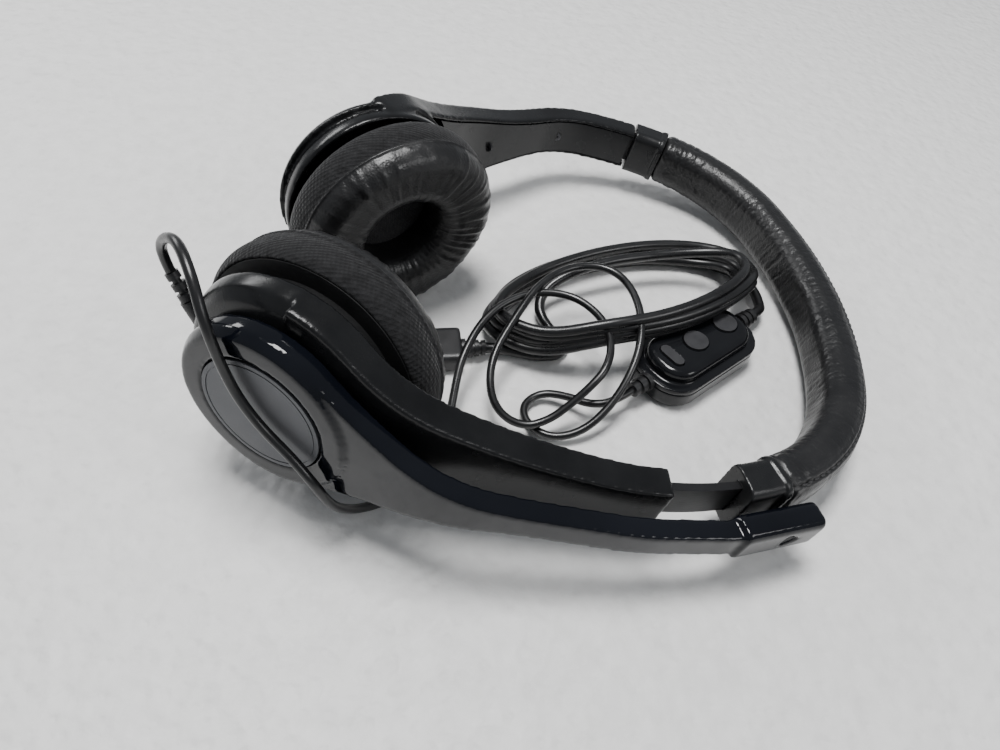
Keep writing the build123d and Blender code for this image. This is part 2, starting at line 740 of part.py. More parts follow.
save_loose(usb_tongue.part, "usb_tongue", plug_place)
save_loose(plug_relief - plug_body.part, "usb_relief", plug_place)


# ---------------------------------------------------------------- cords
lead_diameter = 2.8
hank_length, hank_width, hank_top = 118.0, 58.0, 13.7
loops_radius, loops_top = 32.0, 18.4
loops_centre = (22.3 + shift_x, -31.5 + shift_y)

relief_at = Plane(
    origin=tuple(relief_start + relief_run * 2), x_dir=tuple(relief_run), z_dir=(0, 0, 1)
)
with BuildPart() as cord_relief:
    add(relief_at.location * ribbed_relief(16.0, 2.6, 1.9, 5))
    add(relief_bed, mode=Mode.SUBTRACT)
save(Part() + [cord_relief.part, relief_bed], "cord_strain_relief", left, hub)
exit_in_cap = relief_start + relief_run * (2 + 16.0 * 4.62 / 5)
cord_exit = saved_point(left, hub, exit_in_cap)

# the lead's route, from its relief over the hub, down and under the arm, in the lying frame
lead_route = [
    (-90.0, -44.2, 67.2), (-86.5, -47.5, 74.5), (-80.5, -54.5, 79.8), (-75.6, -64.5, 78.0),
    (-72.7, -72.8, 70.1), (-70.6, -75.2, 56.5), (-67.6, -77.8, 47.4), (-62.5, -81.2, 39.5),
    (-55.5, -86.0, 34.0), (-49.6, -90.6, 27.6), (-45.8, -91.2, 17.0), (-40.2, -87.2, 8.4),
    (-32.5, -81.5, 3.0), (-23.5, -76.0, 1.8), (-17.2, -67.5, 1.8), (-13.7, -58.0, 4.5),
    (-12.0, -49.0, 9.0), (-9.0, -40.9, 14.8),
]


def corner_radii(route):
    """Largest arc that each corner's shorter run allows."""
    radii = []
    for before, corner, after in zip(route, route[1:], route[2:]):
        arrive, leave = corner - before, after - corner
        turn = radians(arrive.get_angle(leave))
        radii.append(0.45 * min(arrive.length, leave.length) / tan(turn / 2))
    return radii


def tube(route, diameter):
    """Round cord along straight runs joined by tangent arcs."""
    radii = corner_radii(route)
    print("cord radii", [round(r, 1) for r in radii])
    with BuildPart() as cord:
        with BuildLine() as path:
            FilletPolyline(*route, radius=radii)
        with BuildSketch(Plane(origin=route[0], z_dir=route[1] - route[0])):
            Circle(diameter / 2)
        sweep(path=path.line)
    return cord.part


with BuildPart() as loops:
    with BuildSketch(Plane.XY.offset(hank_top)):
        with Locations(loops_centre):
            Circle(loops_radius)
    extrude(amount=loops_top - hank_top)
    fillet(loops.faces().sort_by(Axis.Z)[-1].edges(), 2)
route = [cord_exit] + [Vector(x + shift_x, y + shift_y, z) for x, y, z in lead_route]
save_loose(tube(route, lead_diameter) - loops.part, "cord_lead")

keep_clear = [control_place * block(control_length + 0.2, control_width + 0.2, -1, control_top + 0.8, round_by=11)]
for piece in ("control_relief_in", "control_relief_out", "usb_relief"):
    box = saved[piece].bounding_box()
    with BuildPart() as room:
        with BuildSketch(Plane.XY.offset(-1)):
            with Locations(tuple(box.center())[:2]):
                Rectangle(box.size.X, box.size.Y)
        extrude(amount=box.max.Z + 1)
    keep_clear.append(room.part)
with BuildPart() as hank:
    with BuildSketch(Plane.XY.offset(0.2)):
        with Locations(Location((55 + shift_x, 4 + shift_y, 0), (0, 0, 18))):
            SlotOverall(hank_length, hank_width)
    extrude(amount=hank_top - 0.2)
    fillet(hank.faces().sort_by(Axis.Z)[-1].edges(), 3)
    for room in keep_clear:
        add(room, mode=Mode.SUBTRACT)
hank_solid = hank.part.solids().sort_by(SortBy.VOLUME)[-1]
loops_solid = loops.part - keep_clear[0]
save_loose(loops_solid, "cord_lead_loops")
save_loose(Part(hank_solid.wrapped), "cable_hank")
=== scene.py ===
import math

import bpy
from mathutils import Matrix, Vector, noise


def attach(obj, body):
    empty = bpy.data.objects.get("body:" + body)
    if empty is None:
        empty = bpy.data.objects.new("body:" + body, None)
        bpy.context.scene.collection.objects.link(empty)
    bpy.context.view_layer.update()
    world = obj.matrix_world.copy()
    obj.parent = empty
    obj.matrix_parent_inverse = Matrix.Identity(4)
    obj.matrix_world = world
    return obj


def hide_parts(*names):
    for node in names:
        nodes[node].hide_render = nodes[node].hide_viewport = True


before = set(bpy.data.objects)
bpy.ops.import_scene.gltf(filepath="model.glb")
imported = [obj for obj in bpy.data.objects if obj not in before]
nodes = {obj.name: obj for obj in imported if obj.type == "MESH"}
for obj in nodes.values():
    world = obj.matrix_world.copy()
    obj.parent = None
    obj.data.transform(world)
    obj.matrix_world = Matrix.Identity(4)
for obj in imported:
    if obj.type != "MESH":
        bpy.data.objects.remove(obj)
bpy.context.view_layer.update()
scene = bpy.context.scene
MM = 0.001


# ---------------------------------------------------------------- camera
camera_data = bpy.data.cameras.new("camera")
camera_data.lens = 26.24
camera_data.sensor_width = 36
camera_data.clip_start = 0.01
camera = bpy.data.objects.new("camera", camera_data)
camera.location = (-0.04745, -0.18770, 0.19948)
camera.rotation_euler = [math.radians(a) for a in (39.657, -5.509, -3.036)]
scene.collection.objects.link(camera)
scene.camera = camera


# ---------------------------------------------------------------- places
def placing(origin, x, y, z):
    """Matrix from a local frame in mm to the row frame in metres."""
    rows = [[x[i] * MM, y[i] * MM, z[i] * MM, origin[i] * MM] for i in range(3)]
    return Matrix(rows + [[0, 0, 0, 1]])


FLAT = placing((-25.3, 5.5, 30.9), (0.98801, 0, -0.15437), (0, 1, 0), (0.15437, 0, 0.98801))
LEFT_CUP = placing(
    (-82.698, -60.699, 39.903), (0.85822, -0.49546, -0.13409), (-0.17136, -0.03031, -0.98474),
    (-0.48383, -0.8681, 0.11092),
)
RIGHT_CUP = placing(
    (-65.851, 30.473, 37.271), (0.85423, 0.50299, -0.13149), (-0.16993, 0.0311, -0.98497),
    (-0.49134, 0.86373, 0.11203),
)


# ---------------------------------------------------------------- materials
def build_material(name, colour, rough, second=None, metal=0.0, coat=0.0, coat_rough=0.05, sheen=0.0,
                   blotch=70.0, grain=None, specular=0.5, rough_spread=0.06, edge_lightening=0.0):
    """Procedural finish: two mixed tones, uneven roughness, and a grain that lifts the surface.

    grain is (kind, scale, distance): cells for leather, weave for mesh cloth, fine for moulded
    plastic, brushed for metal.
    """
    mat = bpy.data.materials.new(name)
    mat.use_nodes = True
    tree = mat.node_tree
    link = tree.links.new
    shader = tree.nodes["Principled BSDF"]
    for socket, value in (
        ("Metallic", metal), ("Coat Weight", coat), ("Coat Roughness", coat_rough),
        ("Sheen Weight", sheen), ("Sheen Roughness", 0.4), ("Specular IOR Level", specular),
    ):
        shader.inputs[socket].default_value = value
    coords = tree.nodes.new("ShaderNodeTexCoord")

    def texture(kind, scale, **settings):
        node = tree.nodes.new(kind)
        node.inputs["Scale"].default_value = scale
        for key, value in settings.items():
            if key in node.inputs:
                node.inputs[key].default_value = value
        link(coords.outputs["Object"], node.inputs["Vector"])
        return node

    tone = texture("ShaderNodeTexNoise", blotch, Detail=4.0)
    second = second or tuple(min(1.0, c * 1.45 + 0.002) for c in colour)
    ramp = tree.nodes.new("ShaderNodeValToRGB")
    ramp.color_ramp.elements[0].position, ramp.color_ramp.elements[1].position = 0.35, 0.68
    ramp.color_ramp.elements[0].color = (*colour, 1)
    ramp.color_ramp.elements[1].color = (*second, 1)
    link(tone.outputs["Fac"], ramp.inputs["Fac"])
    result = ramp.outputs["Color"]
    # lighter colour mixed onto sharp convex edges, where the mesh's pointiness is high
    if edge_lightening:
        geometry = tree.nodes.new("ShaderNodeNewGeometry")
        edge = tree.nodes.new("ShaderNodeMapRange")
        edge.inputs["From Min"].default_value = 0.53
        edge.inputs["From Max"].default_value = 0.62
        edge.inputs["To Max"].default_value = edge_lightening
        link(geometry.outputs["Pointiness"], edge.inputs["Value"])
        mix = tree.nodes.new("ShaderNodeMixRGB")
        mix.inputs["Color2"].default_value = (*[min(1.0, c * 3 + 0.05) for c in colour], 1)
        link(edge.outputs["Result"], mix.inputs["Fac"])
        link(result, mix.inputs["Color1"])
        result = mix.outputs["Color"]
    link(result, shader.inputs["Base Color"])

    smudge = texture("ShaderNodeTexNoise", blotch * 2.3, Detail=6.0)
    spread = tree.nodes.new("ShaderNodeMapRange")
    spread.inputs["From Min"].default_value, spread.inputs["From Max"].default_value = 0.3, 0.7
    spread.inputs["To Min"].default_value = max(0.02, rough - rough_spread)
    spread.inputs["To Max"].default_value = rough + rough_spread
    link(smudge.outputs["Fac"], spread.inputs["Value"])
    link(spread.outputs["Result"], shader.inputs["Roughness"])

    if grain:
        kind, scale, distance = grain
        bump = tree.nodes.new("ShaderNodeBump")
        bump.inputs["Distance"].default_value = distance
        if kind == "cells":
            cells = texture("ShaderNodeTexVoronoi", scale, Randomness=1.0)
            cells.feature = "SMOOTH_F1"
            pores = texture("ShaderNodeTexNoise", scale * 0.55, Detail=3.0)
            joined = tree.nodes.new("ShaderNodeMath")
            joined.operation = "ADD"
            link(cells.outputs["Distance"], joined.inputs[0])
            link(pores.outputs["Fac"], joined.inputs[1])
            height = joined.outputs[0]
        elif kind == "weave":
            cells = texture("ShaderNodeTexVoronoi", scale, Randomness=0.12)
            threads = texture("ShaderNodeTexNoise", scale * 2.2, Detail=2.0)
            joined = tree.nodes.new("ShaderNodeMath")
            joined.operation = "MULTIPLY_ADD"
            joined.inputs[1].default_value = 0.35
            link(threads.outputs["Fac"], joined.inputs[0])
            link(cells.outputs["Distance"], joined.inputs[2])
            height = joined.outputs[0]
        elif kind == "brushed":
            stretch = tree.nodes.new("ShaderNodeMapping")
            stretch.inputs["Scale"].default_value = (0.06, 1.0, 1.0)
            lines = texture("ShaderNodeTexNoise", scale, Detail=5.0)
            link(coords.outputs["Object"], stretch.inputs["Vector"])
            link(stretch.outputs["Vector"], lines.inputs["Vector"])
            height = lines.outputs["Fac"]
        else:
            height = texture("ShaderNodeTexNoise", scale, Detail=2.0).outputs["Fac"]
        link(height, bump.inputs["Height"])
        link(bump.outputs["Normal"], shader.inputs["Normal"])
    return mat


satin = build_material(
    "satin_black_plastic", (0.0045, 0.0047, 0.0052), 0.24, specular=0.28, rough_spread=0.05,
    grain=("fine", 2600, 0.00003), edge_lightening=0.12,
)
gloss = build_material(
    "gloss_black_plastic", (0.0020, 0.0026, 0.0046), 0.08, coat=0.08, coat_rough=0.03, blotch=30,
    rough_spread=0.03, grain=("fine", 90, 0.00003), specular=0.26,
)
rim_gloss = build_material(
    "gloss_rim_plastic", (0.0035, 0.0038, 0.0048), 0.16, coat=0.05, coat_rough=0.06, specular=0.28,
    blotch=40, rough_spread=0.04, grain=("fine", 140, 0.00003),
)
silver = build_material(
    "badge_grey", (0.062, 0.065, 0.072), 0.40, second=(0.080, 0.083, 0.090), metal=0.55, blotch=26,
    grain=("fine", 4200, 0.00003), rough_spread=0.04,
)
leather = build_material(
    "black_leatherette", (0.0052, 0.0052, 0.0058), 0.40, second=(0.0095, 0.0093, 0.0098), coat=0.10,
    coat_rough=0.3, specular=0.42, blotch=55, grain=("cells", 1150, 0.00012), rough_spread=0.09,
)
pleat_leather = build_material(
    "pleated_leatherette", (0.0055, 0.0055, 0.006), 0.38, second=(0.010, 0.0098, 0.0104), coat=0.12,
    coat_rough=0.25, specular=0.45, blotch=60, grain=("cells", 1300, 0.00010), rough_spread=0.08,
)
mesh_cloth = build_material(
    "mesh_cloth", (0.0055, 0.0055, 0.006), 0.88, second=(0.013, 0.013, 0.014), sheen=0.12,
    specular=0.25, blotch=420, grain=("weave", 900, 0.0004),
)
speaker_cloth = build_material(
    "speaker_cloth", (0.008, 0.008, 0.009), 0.86, second=(0.02, 0.02, 0.022), sheen=0.2, blotch=500,
    grain=("weave", 1400, 0.0003),
)
rubber = build_material(
    "cord_rubber", (0.0062, 0.0062, 0.0068), 0.30, second=(0.0088, 0.0088, 0.0094), blotch=90,
    grain=("fine", 1900, 0.00001), rough_spread=0.06,
)
rubber_hard = build_material(
    "relief_rubber", (0.008, 0.008, 0.0088), 0.42, blotch=120, grain=("fine", 2300, 0.00005),
)
steel = build_material(
    "brushed_steel", (0.46, 0.46, 0.47), 0.3, second=(0.55, 0.55, 0.56), metal=1.0, blotch=60,
    grain=("brushed", 3000, 0.00003),
)
screw_steel = build_material(
    "black_screw_steel", (0.06, 0.06, 0.065), 0.36, metal=0.9, blotch=300,
    grain=("fine", 3000, 0.00003),
)
nickel = build_material(
    "nickel_plate", (0.62, 0.61, 0.59), 0.22, second=(0.70, 0.69, 0.67), metal=1.0, blotch=90,
    grain=("brushed", 2200, 0.00002),
)
inner_black = build_material(
    "inner_black_plastic", (0.006, 0.006, 0.0065), 0.62, blotch=120, grain=("fine", 1500, 0.00006),
)
tongue_white = build_material(
    "tongue_white_plastic", (0.72, 0.72, 0.70), 0.45, blotch=200, grain=("fine", 1800, 0.00003),
)
board_green = build_material(
    "board_green", (0.012, 0.09, 0.035), 0.4, second=(0.02, 0.14, 0.05), blotch=600,
    grain=("fine", 900, 0.00006),
)
magnet_grey = build_material(
    "magnet_grey", (0.22, 0.22, 0.23), 0.34, metal=0.9, blotch=90, grain=("fine", 1200, 0.00004),
)
film = build_material(
    "driver_film", (0.30, 0.24, 0.12), 0.35, second=(0.38, 0.31, 0.17), blotch=150,
    grain=("fine", 700, 0.00006),
)
foam_grey = build_material(
    "foam_grey", (0.07, 0.07, 0.072), 0.92, second=(0.10, 0.10, 0.10), blotch=400,
    grain=("cells", 900, 0.0004),
)
button_black = build_material(
    "button_rubber", (0.018, 0.018, 0.020), 0.44, blotch=160, grain=("fine", 1700, 0.00005),
)
thread = build_material(
    "seam_thread", (0.014, 0.014, 0.015), 0.6, second=(0.03, 0.03, 0.031), blotch=900,
    grain=("fine", 5000, 0.00008),
)
collar_black = build_material(
    "collar_plastic", (0.0052, 0.0054, 0.006), 0.30, specular=0.4, grain=("fine", 2200, 0.00003),
    edge_lightening=0.15,
)
strip_black = build_material(
    "coated_strip_steel", (0.010, 0.010, 0.011), 0.34, metal=0.35, blotch=60,
    grain=("brushed", 2600, 0.00003),
)

finish_of = {
    "arm_outer_shell": satin, "arm_inner_cover": satin, "collar": collar_black, "slider_strip": strip_black,
    "arm_screws": screw_steel, "pivot_ring": inner_black, "pivot_pins": steel, "cup_housing": inner_black,
    "baffle": inner_black, "driver_frame": inner_black, "driver_magnet": magnet_grey,
    "driver_diaphragm": film,
    "speaker_mesh": speaker_cloth, "cushion_ring": inner_black, "mic_boom": gloss, "mic_boom_cover": satin,
    "mic_capsule": magnet_grey, "mic_port_mesh": speaker_cloth, "boom_friction_washer": inner_black,
    "boom_retaining_clip": steel, "badge_disc": silver, "control_lower_shell": rim_gloss,
    "control_upper_shell": rim_gloss, "control_screws": screw_steel, "control_board": board_green,
    "control_relief": rubber_hard, "button": button_black, "usb_plug_body": rubber_hard, "usb_shell": nickel,
    "usb_tongue": tongue_white, "usb_relief": rubber_hard, "cord_strain_relief": rubber_hard,
    "headband_core": inner_black, "headband_spring": steel, "headband_foam": foam_grey,
    "headband_cover": leather, "cushion_foam": foam_grey, "cushion_cover": mesh_cloth, "cord_lead": rubber,
    "cable_hank": rubber,
}
for node_name, node in nodes.items():
    match = [key for key in finish_of if key in node_name]
    chosen = finish_of[max(match, key=len)]
    node.data.materials.clear()
    node.data.materials.append(chosen)


def moulded(node_name, voxel, rounds, body):
    """Copy of a CAD shell with its sharp edges rounded off, standing for the node."""
    node = nodes[node_name]
    piece = bpy.data.objects.new(node_name + "_moulded", node.data.copy())
    scene.collection.objects.link(piece)
    piece.matrix_world = node.matrix_world
    remesh = piece.modifiers.new("remesh", "REMESH")
    remesh.mode = "VOXEL"
    remesh.voxel_size = voxel
    smooth = piece.modifiers.new("smooth", "SMOOTH")
    smooth.iterations = rounds
    smooth.factor = 0.5
    bpy.context.view_layer.update()
    done = bpy.data.meshes.new_from_object(piece.evaluated_get(bpy.context.evaluated_depsgraph_get()))
    piece.modifiers.clear()
    piece.data = done
    for polygon in done.polygons:
        polygon.use_smooth = True
    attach(piece, body)
    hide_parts(node_name)
    return piece


softened = {}
for shell, voxel, rounds, body, slot in (
    ("left_arm_outer_shell", 0.0006, 16, "left_arm", "satin_plastic"),
    ("right_arm_outer_shell", 0.0006, 16, "right_arm", "satin_plastic"),
    ("mic_boom", 0.0005, 18, "boom", "gloss_plastic"),
    ("left_collar", 0.0004, 4, "headband", "collar_plastic"),
    ("right_collar", 0.0004, 4, "headband", "collar_plastic"),
    ("control_upper_shell", 0.0004, 5, "left_arm", "control_gloss"),
    ("control_lower_shell", 0.0004, 5, "left_arm", "control_gloss"),
    ("usb_plug_body", 0.0004, 5, "left_arm", "plug_rubber"),
):
    softened[shell] = moulded(shell, voxel, rounds, body)


def mesh_piece(name, points, faces, mats, face_mats=None):
    """Smooth-shaded mesh object; face_mats gives each face's material, the first by default."""
    data = bpy.data.meshes.new(name)
    data.from_pydata([tuple(p) for p in points], [], faces)
    for mat in mats:
        data.materials.append(mat)
    if face_mats:
        for polygon, index in zip(data.polygons, face_mats):
            polygon.material_index = index
    for polygon in data.polygons:
        polygon.use_smooth = True
    piece = bpy.data.objects.new(name, data)
    scene.collection.objects.link(piece)
    return piece


# ---------------------------------------------------------------- cords
def cord_curve(name, points, diameter, mat):
    """Round cord on a NURBS line with these control points, in mm."""
    data = bpy.data.curves.new(name, "CURVE")
    data.dimensions = "3D"
    data.resolution_u = 8
    data.bevel_depth = diameter / 2
    data.bevel_resolution = 5
    data.use_fill_caps = True
    spline = data.splines.new("NURBS")
    spline.points.add(len(points) - 1)
    for spot, (x, y, z) in zip(spline.points, points):
        spot.co = (x * MM, y * MM, z * MM, 1)
    spline.order_u = 3
    spline.use_endpoint_u = True
    data.materials.append(mat)
    curve = bpy.data.objects.new(name, data)
    scene.collection.objects.link(curve)
    return curve


LEAD_D, CABLE_D = 0.0028, 0.0039
CONTROL_IN, CONTROL_OUT, PLUG_END = (25.05, -34.87, 7.8), (78.35, 2.87, 7.8), (-24.83, -13.77, 4.3)
lead_points = [
    (-113.767, -39.978, 60.711), (-115.3, -38.7, 67.2), (-111.8, -42.0, 74.5), (-105.8, -49.0, 79.8),
    (-100.9, -59.0, 78.0), (-98.0, -67.3, 70.1), (-95.9, -69.7, 56.5), (-92.9, -72.3, 47.4),
    (-87.8, -75.7, 39.5), (-80.8, -80.5, 34.0), (-74.9, -85.1, 27.6), (-71.1, -85.7, 17.0),
    (-65.5, -81.7, 8.4), (-57.8, -76.0, 3.0), (-48.8, -70.5, 1.8), (-42.5, -62.0, 1.8), (-39.0, -52.5, 4.5),
    (-37.3, -43.5, 9.0), (-35.8, -35.8, 12.5),
    # first loop over the cable
    (-33.9, -28.2, 16), (-27.7, -15.6, 19), (-18.7, -6.1, 20.5), (-6, -1, 21), (6.5, -3, 21),
    (15.1, -12.5, 20.5),
    (17.1, -24.2, 20), (13.9, -34.6, 19), (8.7, -39.7, 16), (1.6, -44.1, 11), (-5, -47.4, 7), (-13, -49, 5),
    (-21, -46, 7), (-25, -39, 11), (-24, -28, 16),
    # second, wider loop
    (-16.6, -15.2, 20), (-6.8, -0.1, 23.5), (4.3, 8.9, 23.5), (15.3, 11.1, 23.5), (24, 6.7, 23.5),
    (28.3, -5.5, 23.5),
    (28, -19.7, 22), (24.2, -32, 18), (17.1, -42.4, 11), (7.1, -50.2, 5), (-4, -52, 2.6), (-12, -46, 2.4),
    (-13, -38, 2.6), (-6, -33, 3.4), (3, -36, 5.2), (9.5, -40.5, 6.6), (17.7, -40.1, 7.6), CONTROL_IN,
]
lead = cord_curve("headset_lead", lead_points, LEAD_D, rubber)

CONTROL_TURN = math.radians(35.3)
control_u = Vector((math.cos(CONTROL_TURN), math.sin(CONTROL_TURN), 0))
control_v = Vector((-control_u.y, control_u.x, 0))
control_at = Vector((51.7, -16.0, 0))


def over_control(x, y, z, layer):
    """Lifts a coil point smoothly over the control box, and over the cable's run to the plug."""
    def ease(share):
        share = 1 - min(1.0, max(0.0, share))
        return share * share * (3 - 2 * share)

    offset = Vector((x, y, 0)) - control_at
    u, v = abs(offset.dot(control_u)) / 33, abs(offset.dot(control_v)) / 22
    reach = max(u, v)
    z += (max(z, 17.6 + 2.2 * layer) - z) * ease((reach - 0.95) / 0.75)
    along = min(1.0, max(0.0, (x + 24) / 22))
    away = Vector((x + 24 - 22 * along, y + 14 + 1.5 * along, 0)).length
    return z + (max(z, 8.6 + 3.4 * layer) - z) * ease((away - 6) / 12)


# each turn of the hank: half length, half width, height, sideways and lengthways shift
turns = [
    (58.0, 31.0, 2.2, 0.0, 0.0, 0), (53.8, 26.8, 2.2, 0.0, 0.0, 0), (49.6, 22.6, 2.2, 0.0, 0.0, 0),
    (56.0, 29.0, 6.3, 0.0, 0.0, 1), (51.8, 24.8, 6.3, 0.0, 0.0, 1), (54.0, 27.5, 10.4, 0.0, 1.0, 2),
    (50.0, 21.0, 11.8, -4.0, -3.0, 3), (44.0, 17.0, 15.0, -5.0, -6.0, 3),
]
cable_points = [CONTROL_OUT, (82.6, 5.9, 7.4), (85.8, 11.0, 4.8)]
HANK_X, HANK_Y, HANK_TILT = 29.7, 10.5, math.radians(18)
POINTS_PER_TURN = 14
for step in range(6 * POINTS_PER_TURN + 5):
    at = step / POINTS_PER_TURN
    first, share = int(at), at - int(at)
    a, b, z, side, along, layer = [p + (q - p) * share for p, q in zip(turns[first], turns[first + 1])]
    z = turns[first][2] + (turns[first + 1][2] - turns[first][2]) * min(1.0, 2.5 * share)
    angle = math.radians(at * 360 - 12)
    wobble = 1 + 0.022 * math.sin(2 * angle + 1) + 0.014 * math.sin(3 * angle)
    x, y = a * wobble * math.cos(angle) + along, b * wobble * math.sin(angle) + side
    px = HANK_X + x * math.cos(HANK_TILT) - y * math.sin(HANK_TILT)
    py = HANK_Y + x * math.sin(HANK_TILT) + y * math.cos(HANK_TILT)
    cable_points.append((px, py, over_control(px, py, z, layer)))
cable_points += [
    (2, 16, 10.5), (-4.5, 8, 5.5), (-1, -1.5, 2.8), (5.5, -8, 2.2), (3, -14.6, 2.2), (-6, -15.8, 2.5),
    (-14, -14.6, 3.5), (-19, -13.9, 4.2), PLUG_END,
]
cable = cord_curve("usb_cable", cable_points, CABLE_D, rubber)
bpy.context.view_layer.update()
for curve, replaced, exit_point, length, diameter, far, extras in (
    (lead, ("cord_lead", "cord_lead_loops"), lead_points[0], 0.55, LEAD_D, "fitting",
     [n for n in nodes if n.startswith(("control", "volume", "mute")) and n not in softened]
     + [softened["control_upper_shell"], softened["control_lower_shell"]]),
    (cable, ("cable_hank",), CONTROL_OUT, 1.70, CABLE_D, "plug",
     ["usb_relief", "usb_shell", "usb_tongue", softened["usb_plug_body"]]),
):
    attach(curve, "left_arm")
    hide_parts(*replaced)


# ---------------------------------------------------------------- headband pad
# the centreline's arcs, from the crown to the pad's end: centre, radius and turn of each
CROWN = ((-6.2, 0.0), 136.0, math.radians(20))
SHOULDER = ((62.3976, 24.9675), 63.0, math.radians(40.5))
SIDE = ((51.5642, 5.81965), 85.0, math.radians(8.1))
HALF_BAND = CROWN[1] * CROWN[2] + SHOULDER[1] * SHOULDER[2] + SIDE[1] * SIDE[2]
PAD_THICK_HALF, PAD_WIDTH_HALF, PAD_CORNER = 7.8, 10.3, 6.6


def band_place(s):
    """Point and outward direction at a distance along the headband's centreline, from the crown."""
    side, rest, begun = (1 if s >= 0 else -1), abs(s), 0.0
    for centre, radius, turn in (CROWN, SHOULDER):
        if rest < radius * turn:
            break
        rest -= radius * turn
        begun += turn
    else:
        centre, radius, turn = SIDE
    turn = begun + rest / radius
    out = Vector((math.cos(turn), side * math.sin(turn), 0))
    return Vector((centre[0], side * centre[1], 0)) + out * radius, out


def rounded_section(half_a, half_b, corner, count):
    """Points round a rounded rectangle, with their outward directions, by equal steps."""
    points = []
    flat_a, flat_b, arc = half_a - corner, half_b - corner, corner * math.pi / 2
    lengths = [flat_b, arc, 2 * flat_a, arc, 2 * flat_b, arc, 2 * flat_a, arc, flat_b]
    total = sum(lengths)
    for k in range(count):
        d = total * k / count
        for piece, run in enumerate(lengths):
            if d <= run:
                break
            d -= run
        if piece in (1, 3, 5, 7):
            quarter = (piece - 1) // 2
            angle = math.pi / 2 * quarter + d / corner
            cx, cy = ((flat_a, flat_b), (-flat_a, flat_b), (-flat_a, -flat_b), (flat_a, -flat_b))[quarter]
            n = (math.cos(angle), math.sin(angle))
            points.append((cx + corner * n[0], cy + corner * n[1], *n))
        elif piece in (0, 8):
            points.append((half_a, d if piece == 0 else -flat_b + d, 1, 0))
        elif piece == 2:
            points.append((flat_a - d, half_b, 0, 1))
        elif piece == 4:
            points.append((-half_a, flat_b - d, -1, 0))
        else:
            points.append((-flat_a + d, -half_b, 0, -1))
    return points


section = rounded_section(PAD_THICK_HALF, PAD_WIDTH_HALF, PAD_CORNER, 112)
rings = 340
points, faces = [], []
for i in range(rings + 1):
    s = -HALF_BAND + 2 * HALF_BAND * i / rings
    centre, out = band_place(s)
    to_end = HALF_BAND - abs(s)
    tuck = 1 - 0.16 * max(0.0, 1 - to_end / 2.4) ** 2
    near_end = max(0.0, 1 - to_end / 34) ** 1.2
    for a, w, na, nw in section:
        inner = 0.5 - 0.5 * na
        crease = noise.noise(Vector((s / 3.4 + 0.25 * math.sin(w / 3), w / 17 + a / 22, 3.1)))
        fine = noise.noise(Vector((s / 1.7, w / 9 + a / 9, 9.7)))
        fold = max(0.0, 1 - abs(crease) / 0.16) ** 1.5
        small = max(0.0, 1 - abs(fine) / 0.2)
        top = max(0.0, nw)
        depth = (0.05 + 0.30 * near_end + 0.16 * inner) * fold + (0.02 + 0.10 * near_end) * small
        swell = 0.22 * noise.noise(Vector((s / 16, a / 9, w / 9)))
        edge = abs(math.atan2(abs(w) - 4.2, a - 2.4) - math.radians(52)) if a > 0 else 9
        groove = 0.55 * math.exp(-(edge / 0.07) ** 2)
        bead = 0.30 * math.exp(-((edge - 0.2) / 0.09) ** 2)
        lift = swell - depth - groove + bead - 0.25
        spot = centre + out * ((a + na * lift) * tuck) + Vector((0, 0, (w + nw * lift) * tuck))
        points.append(FLAT @ spot)
n = len(section)
for i in range(rings):
    for k in range(n):
        a, b = i * n + k, i * n + (k + 1) % n
        faces.append((a, b, b + n, a + n))
faces += [tuple(reversed(range(n))), tuple(range(rings * n, rings * n + n))]
pad = mesh_piece("headband_padding", points, faces, [leather])
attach(pad, "headband")
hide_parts("headband_cover", "headband_foam")

# stitches beside the two seams
points, faces = [], []
for side in (1, -1):
    s = -HALF_BAND + 3.5
    while s < HALF_BAND - 5:
        (c0, o0), (c1, o1) = band_place(s), band_place(s + 1.9)
        base = len(points)
        for centre, out, shrink in ((c0, o0, 0.45), (c0.lerp(c1, 0.5), o0, 1.0), (c1, o1, 0.45)):
            for q in range(6):
                t = math.tau * q / 6
                a, w = 5.55 + 0.30 * shrink * math.cos(t), side * (8.35 + 0.30 * shrink * math.sin(t))
                spot = centre + out * (a + 0.1 * shrink) + Vector((0, 0, w))
                points.append(FLAT @ spot)
        for r in range(2):
            for q in range(6):
                a, b = base + r * 6 + q, base + r * 6 + (q + 1) % 6
                faces.append((a, b, b + 6, a + 6))
        faces += [tuple(base + q for q in reversed(range(6))), tuple(base + 12 + q for q in range(6))]
        s += 2.7
stitches = mesh_piece("headband_stitches", points, faces, [thread])
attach(stitches, "headband")


# ---------------------------------------------------------------- ear cushions
def smooth_profile(corners, steps):
    """Catmull-Rom curve through open profile corners."""
    out = []
    for i in range(len(corners) - 1):
        p0, p1, p2, p3 = [Vector(corners[min(max(j, 0), len(corners) - 1)]) for j in (i - 1, i, i + 1, i + 2)]
        for k in range(steps):
            t = k / steps
            out.append(0.5 * ((2 * p1) + (p2 - p0) * t + (2 * p0 - 5 * p1 + 4 * p2 - p3) * t * t
                              + (3 * p1 - p0 - 3 * p2 + p3) * t ** 3))
    return out + [Vector(corners[-1])]


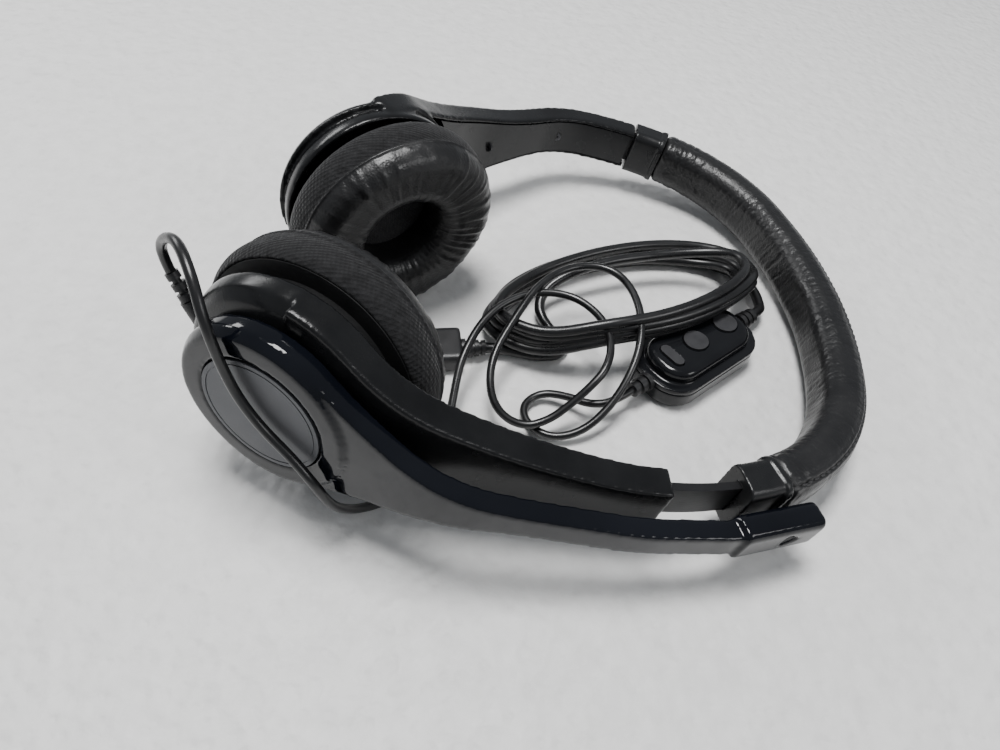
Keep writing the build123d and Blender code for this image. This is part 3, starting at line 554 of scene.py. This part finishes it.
def cushion(name, place, body, depth, seed):
    """Ring cushion: mesh cloth round the side, a seam, then a gathered leatherette face."""
    seam_at = (35.7, -20.4)
    side_run = smooth_profile(
        [(15.0, -11.45), (26.0, -11.45), (33.7, -11.5), (34.0, -9.0), (35.0, -9.3), (36.3, -12.2),
         (36.5, -16.6), seam_at], 7
    )
    face_run = smooth_profile(
        [seam_at, (34.9, -23.2), (33.0, -25.9), (29.6, -27.6), (25.0, -27.7), (20.4, -27.3),
         (16.4, -25.4), (14.2, -22.2), (13.7, -17.5), (14.6, -11.6)], 7
    )
    profile = side_run + face_run[1:]
    seam = len(side_run) - 1
    normals = []
    for k in range(len(profile)):
        run = profile[min(k + 1, len(profile) - 1)] - profile[max(k - 1, 0)]
        normals.append(Vector((-run.y, run.x)).normalized() * -1)
    around = 288
    points, faces, kinds = [], [], []
    for i in range(around):
        theta = math.tau * i / around
        ring = Vector((math.cos(theta), math.sin(theta), 0))
        for k, ((r, z), out) in enumerate(zip(profile, normals)):
            t = (k - seam) / (len(profile) - 1 - seam)
            lift = 0.25 * noise.noise(Vector((ring.x * 1.6, ring.y * 1.6, z / 14 + seed)))
            if t >= 0:
                rise = math.sin(math.pi * min(1.0, t * 1.25 + 0.02)) ** 0.6 if t < 0.8 else 0.25
                sway = 0.35 * math.sin(3.1 * t + seed)
                wander = noise.noise(Vector((math.cos(theta + sway * 0.06) * 6.2,
                                             math.sin(theta + sway * 0.06) * 6.2, t * 0.9 + seed)))
                crease = max(0.0, 1 - abs(wander) / 0.17) ** 1.4
                gather = math.cos(theta * 46 + 2.5 * noise.noise(Vector((ring.x * 3, ring.y * 3, seed + t))))
                lift -= depth * rise * crease
                lift += 0.16 * depth * gather * (1 - abs(2 * t - 0.9))
                lift -= 0.55 * math.exp(-((t - 0.0) / 0.02) ** 2)
            else:
                lift -= 0.55 * math.exp(-((k - seam) / 1.1) ** 2)
                bulge = (k / seam) ** 2
                lift += 0.12 * bulge * noise.noise(Vector((ring.x * 5, ring.y * 5, z / 5 + seed)))
            r2, z2 = r + out.x * lift, z + out.y * lift
            spot = place @ (ring * r2 + Vector((0, 0, z2)))
            points.append((spot.x, spot.y, max(spot.z, 0.0002)))
    m = len(profile)
    flip = place.to_3x3().determinant() < 0
    for i in range(around):
        j = (i + 1) % around
        for k in range(m - 1):
            quad = (i * m + k, j * m + k, j * m + k + 1, i * m + k + 1)
            faces.append(tuple(reversed(quad)) if flip else quad)
            kinds.append(0 if k < seam else 1)
        quad = (i * m + m - 1, j * m + m - 1, j * m, i * m)
        faces.append(tuple(reversed(quad)) if flip else quad)
        kinds.append(0)
    piece = mesh_piece(name, points, faces, [mesh_cloth, pleat_leather], kinds)
    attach(piece, body)
    side = name.split("_")[0]
    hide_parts(f"{side}_cushion_cover", f"{side}_cushion_foam")


cushion("left_ear_cushion", LEFT_CUP, "left_cup", 0.40, 4.0)
cushion("right_ear_cushion", RIGHT_CUP, "right_cup", 0.48, 11.0)


# ---------------------------------------------------------------- floor and light
floor = mesh_piece(
    "floor", [(-3, -3, -0.0002), (3, -3, -0.0002), (3, 3, -0.0002), (-3, 3, -0.0002)], [(0, 1, 2, 3)],
    [build_material("pale_floor", (0.74, 0.735, 0.725), 0.55, second=(0.80, 0.795, 0.785), blotch=120,
                    grain=("cells", 240, 0.0009))],
)

world = bpy.data.worlds.new("studio")
scene.world = world
world.use_nodes = True
world.node_tree.nodes["Background"].inputs["Color"].default_value = (0.86, 0.90, 0.95, 1)
world.node_tree.nodes["Background"].inputs["Strength"].default_value = 0.34


def soft_light(name, at, aim, size, power, tint=(1, 1, 1)):
    data = bpy.data.lights.new(name, "AREA")
    data.shape = "RECTANGLE"
    data.size, data.size_y = size
    data.energy = power
    data.color = tint
    lamp = bpy.data.objects.new(name, data)
    lamp.location = at
    lamp.rotation_euler = (Vector(aim) - Vector(at)).to_track_quat("-Z", "Y").to_euler()
    scene.collection.objects.link(lamp)


soft_light("key", (-0.10, 0.10, 1.05), (0, 0, 0.0), (0.42, 0.30), 15.0)
soft_light("back", (-0.75, 0.75, 0.55), (0, 0, 0.02), (0.5, 0.2), 3.5)
soft_light("fill", (0.75, -0.45, 0.65), (0, 0, 0.03), (0.4, 0.3), 2.5)
